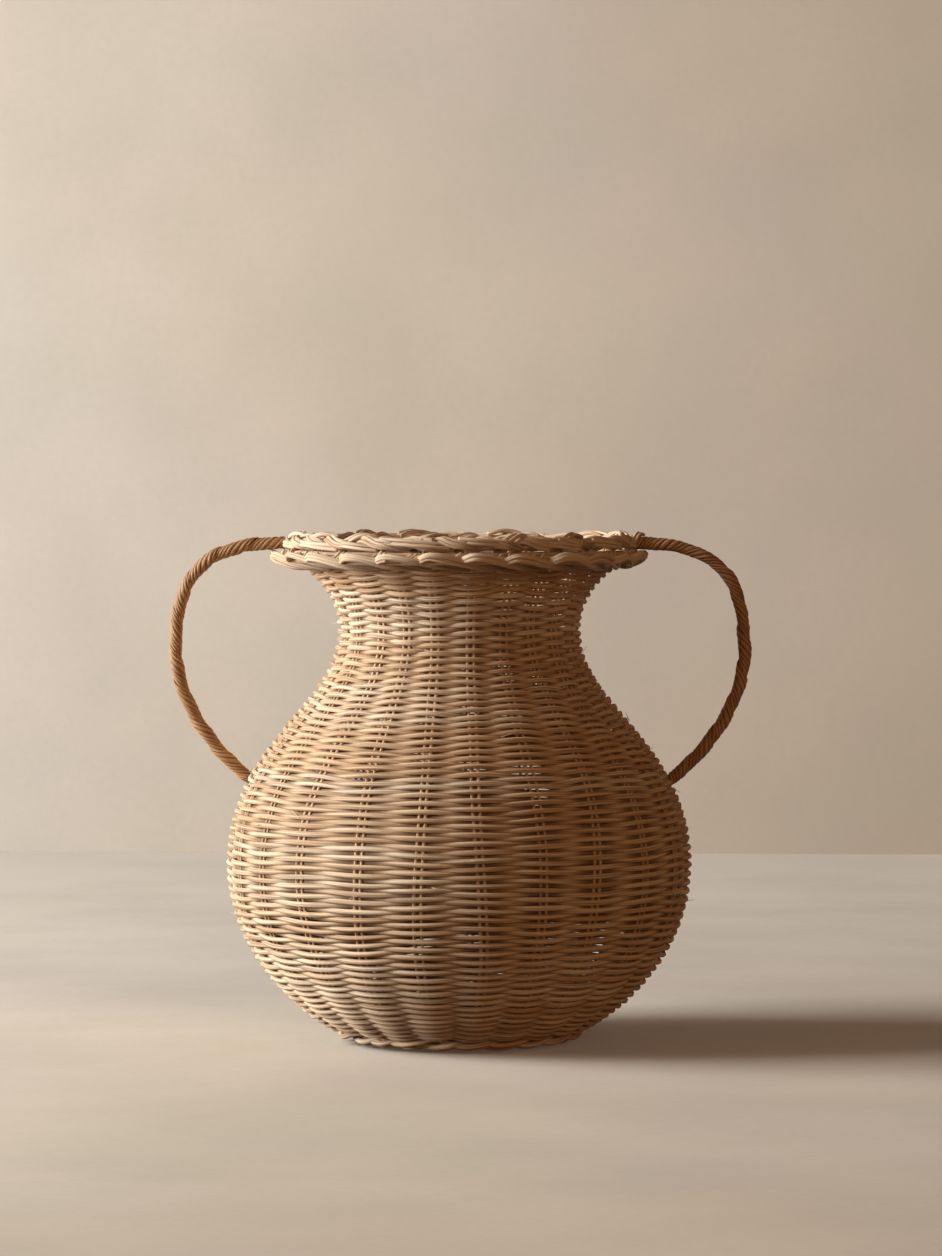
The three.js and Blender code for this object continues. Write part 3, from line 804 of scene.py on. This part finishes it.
def plait_way(column, turn, swell, rise):
    """A bundle's way. Turn 0 is the middle, a quarter turn the outer edge, three quarters the inner one."""
    angle = border_angle(column + PLAIT_STAKES * turn / (2 * math.pi))
    height = plait_height + rise * (np.sin(2 * turn) + 0.35 * np.sin(4 * turn)) / PLAIT_WAVES
    tilt = np.arccos(np.cos(turn))
    way = ring_points(angle, TIP_RADIUS + swell * np.sin(turn), height)
    return way, ring_points(angle, np.sin(tilt), np.cos(tilt))


upper_canes = Canes()
for loop in range(STAKE_COUNT):
    column = loop + border_rng.uniform(-0.2, 0.2)
    swell = PLAIT_REACH * border_rng.uniform(0.95, 1.05)
    way, face = plait_way(column, plait_turn, swell, PLAIT_RISE * border_rng.uniform(0.85, 1.05))
    count = border_rng.integers(3, 5)
    bundle(upper_canes, way, face, PLAIT_CANE_RADIUS, count, PLAIT_SPREAD, 0.08, border_rng, plait_cover_shade)

# Loose pairs lie over the plait: some run along its outer face, and some climb over its top the other way.
share = np.linspace(0, 1, 24)
arch = np.sin(math.pi * share)
for number in range(LOOSE_PAIRS):
    place = number * STAKE_COUNT / LOOSE_PAIRS
    column = place + border_rng.uniform(-0.4, 0.4) + border_rng.uniform(1.2, 2.0) * share
    height = plait_height + border_rng.uniform(-0.0004, 0.0028) - 0.0026 * share
    way = ring_points(border_angle(column), TIP_RADIUS + 0.0032 + 0.0031 * arch, height)
    face = ring_points(border_angle(column), np.ones_like(share), np.zeros_like(share))
    bundle(upper_canes, way, face, PLAIT_CANE_RADIUS, 2, LOOSE_SPREAD, 0.0, border_rng)
    column = place + 0.9 + border_rng.uniform(-0.4, 0.4) + border_rng.uniform(0.7, 1.0) * share
    turn = np.radians(80 - 120 * share)
    reach = 0.0034 + 0.0010 * arch
    height = plait_height + 1.05 * reach * np.cos(turn)
    way = ring_points(border_angle(column), TIP_RADIUS + reach * np.sin(turn), height)
    face = ring_points(border_angle(column), np.sin(turn), np.cos(turn))
    bundle(upper_canes, way, face, PLAIT_CANE_RADIUS, 2, LOOSE_SPREAD, 0.0, border_rng)

# Cut ends of the stakes lie along the inside of the plait and fill it.
for layer in range(FILL_CANES):
    sway = 0.5 * drift(round_place, 1.6, border_rng)
    turn = 2 * math.pi * (layer + sway) / FILL_CANES
    reach = TIP_RADIUS + FILL_REACH * np.sin(turn)
    way = ring_points(border_angle(round_place), reach, plait_height + FILL_RISE * np.cos(turn))
    upper_canes.add(way, facing(UP, way), FILL_RADIUS, border_rng.random())

# One thin pair is bound round the right handle where it leaves the plait.
HANDLE_HEIGHT = rim_high[2] - 0.007
TIE_RADIUS = 0.0048
TIE_PLACE = 0.0952  # of its middle, out along the handle
TIE_LEAN = 0.0024
TIE_CANE_RADIUS = 0.00090
TIE_SPREAD = 0.00158
tie_turn = np.radians(np.linspace(-125, 125, 26))
tie_face = np.stack([np.zeros_like(tie_turn), -np.cos(tie_turn), np.sin(tie_turn)], axis=1)
tie_way = TIE_RADIUS * tie_face + (TIE_PLACE, 0.0, HANDLE_HEIGHT)
tie_way[:, 0] += TIE_LEAN * tie_turn
bundle(upper_canes, tie_way, tie_face, TIE_CANE_RADIUS, 2, TIE_SPREAD, 0.0, border_rng)
dress(upper_canes.build("upper_border_canes"), border_finish, "border", "upper_border")

# Handle cores: one stout bent cane on each side.
# One end is pushed into the rim's plait and the other into the shoulder, between two pairs of stakes.
# They are browner than the wall, and the wraps hide them nearly all the way.

CORE_RADIUS = 0.0022
CORE_STEPS = 120
PLAIT_HALF = 0.00675  # of the plait's width
HANDLE_START = TIP_RADIUS - PLAIT_HALF
HANDLE_EXIT = TIP_RADIUS + PLAIT_HALF
EXIT_PULL = 0.052
BOW_SIZE = 0.060  # out from the plait and down from there
BOW_REACH = HANDLE_EXIT + BOW_SIZE
BOW_HEIGHT = HANDLE_HEIGHT - BOW_SIZE
BOW_PULL_ABOVE = 0.036
BOW_PULL_BELOW = 0.023
SEAT_ANGLE = math.radians(36)
SEAT_PULL = 0.032
SEAT_TAIL = 0.0045  # how far the lower end runs on through the wall
BACK = (0.0, 1.0, 0.0)
seat_radius = np.interp(seat_run, stake_run, stake_line[:, 0])
seat_way = np.array([math.cos(SEAT_ANGLE), math.sin(SEAT_ANGLE)])
seat = np.array([seat_radius, SEAT_HEIGHT])

handle_line = np.vstack([
    [(HANDLE_START, HANDLE_HEIGHT)],
    curve(
        (HANDLE_EXIT, HANDLE_HEIGHT),
        (HANDLE_EXIT + EXIT_PULL, HANDLE_HEIGHT),
        (BOW_REACH, BOW_HEIGHT + BOW_PULL_ABOVE),
        (BOW_REACH, BOW_HEIGHT),
    ),
    curve(
        (BOW_REACH, BOW_HEIGHT),
        (BOW_REACH, BOW_HEIGHT - BOW_PULL_BELOW),
        seat + SEAT_PULL * seat_way,
        seat,
    )[1:],
    [seat - SEAT_TAIL * seat_way],
])
handle_run = run_along(handle_line)
handle_length = handle_run[-1]


def handle_spots(distance):
    """Places along the handle's line, as how far out from the axis and how high they are."""
    return np.stack([np.interp(distance, handle_run, handle_line[:, axis]) for axis in (0, 1)], axis=-1)


def handle_ways(distance, step=0.0005):
    """The way that the handle's line runs at places along it."""
    return unit(handle_spots(distance + step) - handle_spots(distance - step))


core_finish = cane_finish(
    "brown cane",
    pale=colour(158, 110, 74),
    warm=colour(138, 92, 60),
    deep=colour(108, 68, 42),
)
handle_sides = {"right": 1, "left": -1}
core_spots = handle_spots(np.linspace(0, handle_length, CORE_STEPS))
for side, hand in handle_sides.items():
    core_points = np.stack([hand * core_spots[:, 0], np.zeros(CORE_STEPS), core_spots[:, 1]], axis=1)
    core = Canes(sides=12)
    core.add(core_points, facing(BACK, core_points), CORE_RADIUS, 0.5)
    dress(core.build(f"{side}_handle_core_cane"), core_finish, "handle_core", f"{side}_handle_core")

# Handle wraps: one broad brown strip, crinkled lengthwise like dried leaf, wound round each core.
# Each turn laps over the edge of the one before it, so the edges show as slanting steps.
# The ends run on into the plait and into the shoulder weave.

WRAP_PITCH = 0.020
WRAP_WIDTH = 0.0226
WRAP_INNER = 0.00226
WRAP_THICK = 0.00022
WRAP_LAP = 0.00145  # how much higher the lapping edge lies than the covered one
WRAP_CROWN = 0.00020
WRAP_FOLDS = 7
FOLD_DRIFT = 1.2  # folds that pass under the strip's edge in one turn
FOLD_DEPTH = 0.00072
THIN_FOLDS = 2.4  # for each broad one
THIN_SHARE = 0.12  # of a fold's depth
CRINKLE_DEPTH = 0.00010
PATCH_COUNT = 9  # across the strip
STEPS_PER_TURN = 40
ACROSS_STEPS = 64
START_REACH = 0.0040  # into the plait
END_REACH = 0.0010  # into the shoulder
wrap_start = HANDLE_EXIT - HANDLE_START - START_REACH
wrap_end = handle_length - SEAT_TAIL + END_REACH


def closed_strip(name, outlines, places, folds):
    """One closed solid of outlines across a strip, with the place on the strip and the fold at each point."""
    rows, points = outlines.shape[:2]
    corner = np.arange(points)
    starts = np.arange(rows - 1)[:, None] * points
    here = starts + corner
    there = starts + (corner + 1) % points
    quads = np.stack([here, here + points, there + points, there], axis=2)
    faces = quads.reshape(-1, 4).tolist()
    faces.append(corner.tolist())
    faces.append(((rows - 1) * points + corner[::-1]).tolist())
    mesh = bpy.data.meshes.new(name)
    mesh.from_pydata(outlines.reshape(-1, 3), [], faces)
    mesh.polygons.foreach_set("use_smooth", [True] * len(faces))
    loops = np.array([vertex for polygon in faces for vertex in polygon])
    mesh.uv_layers.new(name="strip").uv.foreach_set("vector", places.reshape(-1, 2)[loops].ravel())
    mesh.attributes.new("fold", "FLOAT", "POINT").data.foreach_set("value", folds.ravel())
    return set_out(name, mesh)


def wrap_strip(name, hand, rng):
    """The strip wound round a handle, from its lower end up to the plait."""
    turns = (wrap_end - wrap_start) / WRAP_PITCH + 1
    wound = np.arange(1, math.floor(turns * STEPS_PER_TURN)) / STEPS_PER_TURN
    across = np.linspace(0, 1, ACROSS_STEPS)
    lead = wrap_end + WRAP_PITCH / 2 - wound * WRAP_PITCH
    low = np.clip(lead - WRAP_WIDTH / 2, wrap_start, wrap_end)[:, None]
    high = np.clip(lead + WRAP_WIDTH / 2, wrap_start, wrap_end)[:, None]
    distance = low + (high - low) * across
    turn = np.broadcast_to(wound[:, None] * 2 * math.pi, distance.shape)

    def patches(step):
        """Random change along the strip, different at a few places across it."""
        places = np.linspace(0, 1, PATCH_COUNT)
        columns = np.stack([drift(wound, step, rng) for _ in places])
        return np.stack([np.interp(across, places, column) for column in columns.T])

    sway = 0.5 * drift(wound, 0.6, rng)[:, None] + FOLD_DRIFT * wound[:, None]
    wide_fold = np.abs(np.sin(math.pi * (WRAP_FOLDS * across + sway) + 0.7 * np.sin(3 * math.pi * across)))
    thin_fold = np.abs(np.sin(math.pi * (THIN_FOLDS * WRAP_FOLDS * across + THIN_FOLDS * sway)))
    fold = (1 - THIN_SHARE) * wide_fold + THIN_SHARE * thin_fold
    crinkle = CRINKLE_DEPTH * patches(0.09)
    slack = 0.70 + 0.30 * patches(0.6)
    lap = WRAP_LAP * (0.65 + 0.35 * drift(wound, 0.8, rng)[:, None])
    under = WRAP_INNER + lap * (1 - across) ** 1.6 * (0.6 + 0.4 * ease(across / 0.16))
    crown = WRAP_CROWN * np.sin(math.pi * across)
    over = under + WRAP_THICK + crown + FOLD_DEPTH * fold * slack + crinkle

    def face(radius):
        """The outer or the inner face of the strip, which lies at a radius from the handle's line."""
        way = handle_ways(distance)
        inward = np.stack([way[..., 1], -way[..., 0]], axis=-1)
        flat = handle_spots(distance) + inward * (radius * np.cos(turn))[..., None]
        return np.stack([hand * flat[..., 0], hand * radius * np.sin(turn), flat[..., 1]], axis=-1)

    outlines = np.concatenate([face(over), face(under)[:, ::-1]], axis=1)
    there_and_back = np.concatenate([across, across[::-1]])
    places = np.stack(np.broadcast_arrays(wound[:, None], there_and_back), axis=-1)
    return closed_strip(name, outlines, places, np.concatenate([fold, fold[:, ::-1]], axis=1))


def strip_finish():
    """Dry brown strip: painted shade darkens the creases and leaves the ridges paler, with long fibres and a
    dull sheen.
    """
    fibre_depth = 0.0002
    finish = Finish("brown strip")
    place = finish.node("ShaderNodeUVMap", {"uv_map": "strip"}, {})
    wound = finish.node("ShaderNodeSeparateXYZ", {}, {"Vector": place}, "X")
    across = finish.node("ShaderNodeSeparateXYZ", {}, {"Vector": place}, "Y")
    fibre = finish.noise(wound * 3, across * 60, 4.0, 4.0)
    blotch = finish.noise(wound * 2.2, across * 2.5, 11.0)
    fold = finish.node("ShaderNodeAttribute", {"attribute_name": "fold"}, {}, "Fac")
    shade = finish.mix(finish.span(blotch, 0.35, 0.65), colour(188, 140, 91), colour(218, 171, 118))
    # Painted shade: the creases between the folds are darkened.
    shade = finish.mix(finish.span(fold, 0.12, 0.68, 0.94, 0.0), shade, colour(86, 48, 27))
    shade = finish.mix(finish.span(fibre, 0.30, 0.55, 0.45, 0.0), shade, colour(104, 64, 40))
    bump = finish.node("ShaderNodeBump", {}, {"Strength": 1.0, "Distance": fibre_depth, "Height": fibre})
    finish.put(Base_Color=shade, Roughness=0.66 - fibre * 0.24, Normal=bump)
    return finish.material


wrap_finish = strip_finish()
for side, hand in handle_sides.items():
    wrap = wrap_strip(f"{side}_handle_wrap_strip", hand, np.random.default_rng(17 + hand))
    dress(wrap, wrap_finish, "handle_wrap", f"{side}_handle_wrap")

# Stage: a plain pale floor with a pale wall behind it, both painted and a little mottled.
# Their paint also holds painted light: the floor darkens towards the front and the wall towards the right,
# and both glow a little, the floor most near the wall.
# They are thin sheets that don't show from behind, so that they never hide the vase.

WALL_BEHIND = 1.32
STAGE_HALF = 3.0
STAGE_HEIGHT = 2.6


def stage_sheet(name, first_edge, last_edge, axis, near, near_paint_and_light, far, far_paint_and_light, far_painted_glow):
    """A sheet of mottled paint between two edges; as painted light it passes from one shade to another along
    an axis and glows.
    """
    corners = [(side * STAGE_HALF, *first_edge) for side in (-1, 1)]
    corners += [(side * STAGE_HALF, *last_edge) for side in (1, -1)]
    mesh = bpy.data.meshes.new(name)
    mesh.from_pydata(corners, [], [(0, 1, 2, 3)])
    sheet = set_out(name, mesh)
    finish = Finish(f"{name} paint")
    place = finish.node("ShaderNodeNewGeometry", {}, {}, "Position")
    along = finish.node("ShaderNodeSeparateXYZ", {}, {"Vector": place}, axis)
    cloud = finish.node("ShaderNodeTexNoise", {}, {"Vector": place, "Scale": 6.0, "Detail": 8.0}, "Fac")
    grain = finish.node("ShaderNodeTexNoise", {}, {"Vector": place, "Scale": 150.0, "Detail": 3.0}, "Fac")
    hue = finish.node("ShaderNodeTexNoise", {}, {"Vector": place, "Scale": 3.0, "Detail": 3.0}, "Color")
    # Painted light: the colour shifts from one end to the other, as the light falls off across the sheet.
    shade = finish.mix(finish.span(along, near, far), near_paint_and_light, far_paint_and_light)
    shade = finish.mix(finish.span(cloud, 0.38, 0.62, 0.20, 0.0), shade, dim(near_paint_and_light, 0.6))
    shade = finish.mix(finish.span(grain, 0.30, 0.70, 0.10, 0.0), shade, dim(near_paint_and_light, 0.6))
    shade = finish.mix(0.13, shade, hue, "OVERLAY")
    behind = finish.node("ShaderNodeNewGeometry", {}, {}, "Backfacing")
    # Painted light: the sheet glows a little, changing from the middle towards its far end.
    painted_glow = finish.mix(finish.span(along, (near + far) / 2, far), dim(near_paint_and_light, 0.25), far_painted_glow)
    finish.put(Base_Color=shade, Roughness=0.9, Alpha=1.0 - behind)
    finish.put(Emission_Color=painted_glow, Emission_Strength=0.2)
    mesh.materials.append(finish.material)
    sheet.visible_diffuse = False


stage_sheet(
    "floor",
    first_edge=(-STAGE_HALF, 0),
    last_edge=(WALL_BEHIND, 0),
    axis="Y",
    near=-0.7,
    near_paint_and_light=colour(226, 215, 198),
    far=1.3,
    far_paint_and_light=colour(255, 249, 237),
    far_painted_glow=colour(246, 233, 213),
)
stage_sheet(
    "wall",
    first_edge=(WALL_BEHIND, 0),
    last_edge=(WALL_BEHIND, STAGE_HEIGHT),
    axis="X",
    near=-0.5,
    near_paint_and_light=colour(236, 227, 213),
    far=0.7,
    far_paint_and_light=colour(214, 197, 172),
    far_painted_glow=dim(colour(214, 197, 172), 0.25),
)

# Light: one broad soft lamp on the left, whose shadow falls to the right.
# A weak warm lamp in front on the right and a faint warm glow all round lift the shaded side.

LIT_PLACE = (0.0, 0.0, 0.12)
ROOM_GLOW = (0.060, 0.028, 0.012, 1.0)


def lamp(name, size, power, shade, place):
    """A square soft lamp that looks at the vase."""
    light = bpy.data.lights.new(name, "AREA")
    light.size = size
    light.energy = power
    light.color = shade
    stand = set_out(name, light)
    way = [there - here for here, there in zip(place, LIT_PLACE)]
    stand.location = place
    stand.visible_camera = False
    stand.rotation_euler = (
        math.atan2(math.hypot(way[0], way[1]), -way[2]),
        0.0,
        math.atan2(-way[0], way[1]),
    )


lamp("key lamp", size=1.35, power=81, shade=(1.0, 0.98, 0.95), place=(-2.05, -0.27, 0.82))
lamp("fill lamp", size=1.0, power=5.9, shade=(1.0, 0.55, 0.29), place=(1.05, -1.90, 0.92))

# The camera sees a pale backdrop past the stage, while the vase gets only the faint glow.
world = bpy.data.worlds.new("studio")
world.use_nodes = True
backdrop = world.node_tree.nodes.new("ShaderNodeMix")
backdrop.data_type = "RGBA"
feed(backdrop.inputs[0], Value(world.node_tree.nodes.new("ShaderNodeLightPath").outputs["Is Camera Ray"]))
feed(backdrop.inputs[6], ROOM_GLOW)
feed(backdrop.inputs[7], colour(206, 192, 174))
feed(world.node_tree.nodes["Background"].inputs["Color"], Value(backdrop.outputs[2]))
bpy.context.scene.world = world

# Camera: a little above the rim and a little to the right of the front, looking slightly down.
# The lens is long, so the vase shows with little perspective.

CAMERA_DISTANCE = 2.7
CAMERA_HEIGHT = 0.315
CAMERA_TURN = math.radians(2.6)
CAMERA_PITCH = 0.0325
AXIS_LEFT = 11.5  # how far the vase's axis lies left of the picture's middle, in pixels
PICTURE_HEIGHT = 1256  # in pixels
LENS = 141.0
FILM_HEIGHT = 36.0

camera_data = bpy.data.cameras.new("camera")
camera_data.sensor_fit = "VERTICAL"
camera_data.sensor_height = FILM_HEIGHT
camera_data.lens = LENS
camera = set_out("camera", camera_data)
camera.location = (
    CAMERA_DISTANCE * math.sin(CAMERA_TURN),
    -CAMERA_DISTANCE * math.cos(CAMERA_TURN),
    CAMERA_HEIGHT,
)
yaw = math.atan(AXIS_LEFT / PICTURE_HEIGHT * FILM_HEIGHT / LENS)
camera.rotation_euler = (math.pi / 2 - CAMERA_PITCH, 0.0, CAMERA_TURN - yaw)
bpy.context.scene.camera = camera
bpy.context.scene.view_settings.view_transform = "Standard"
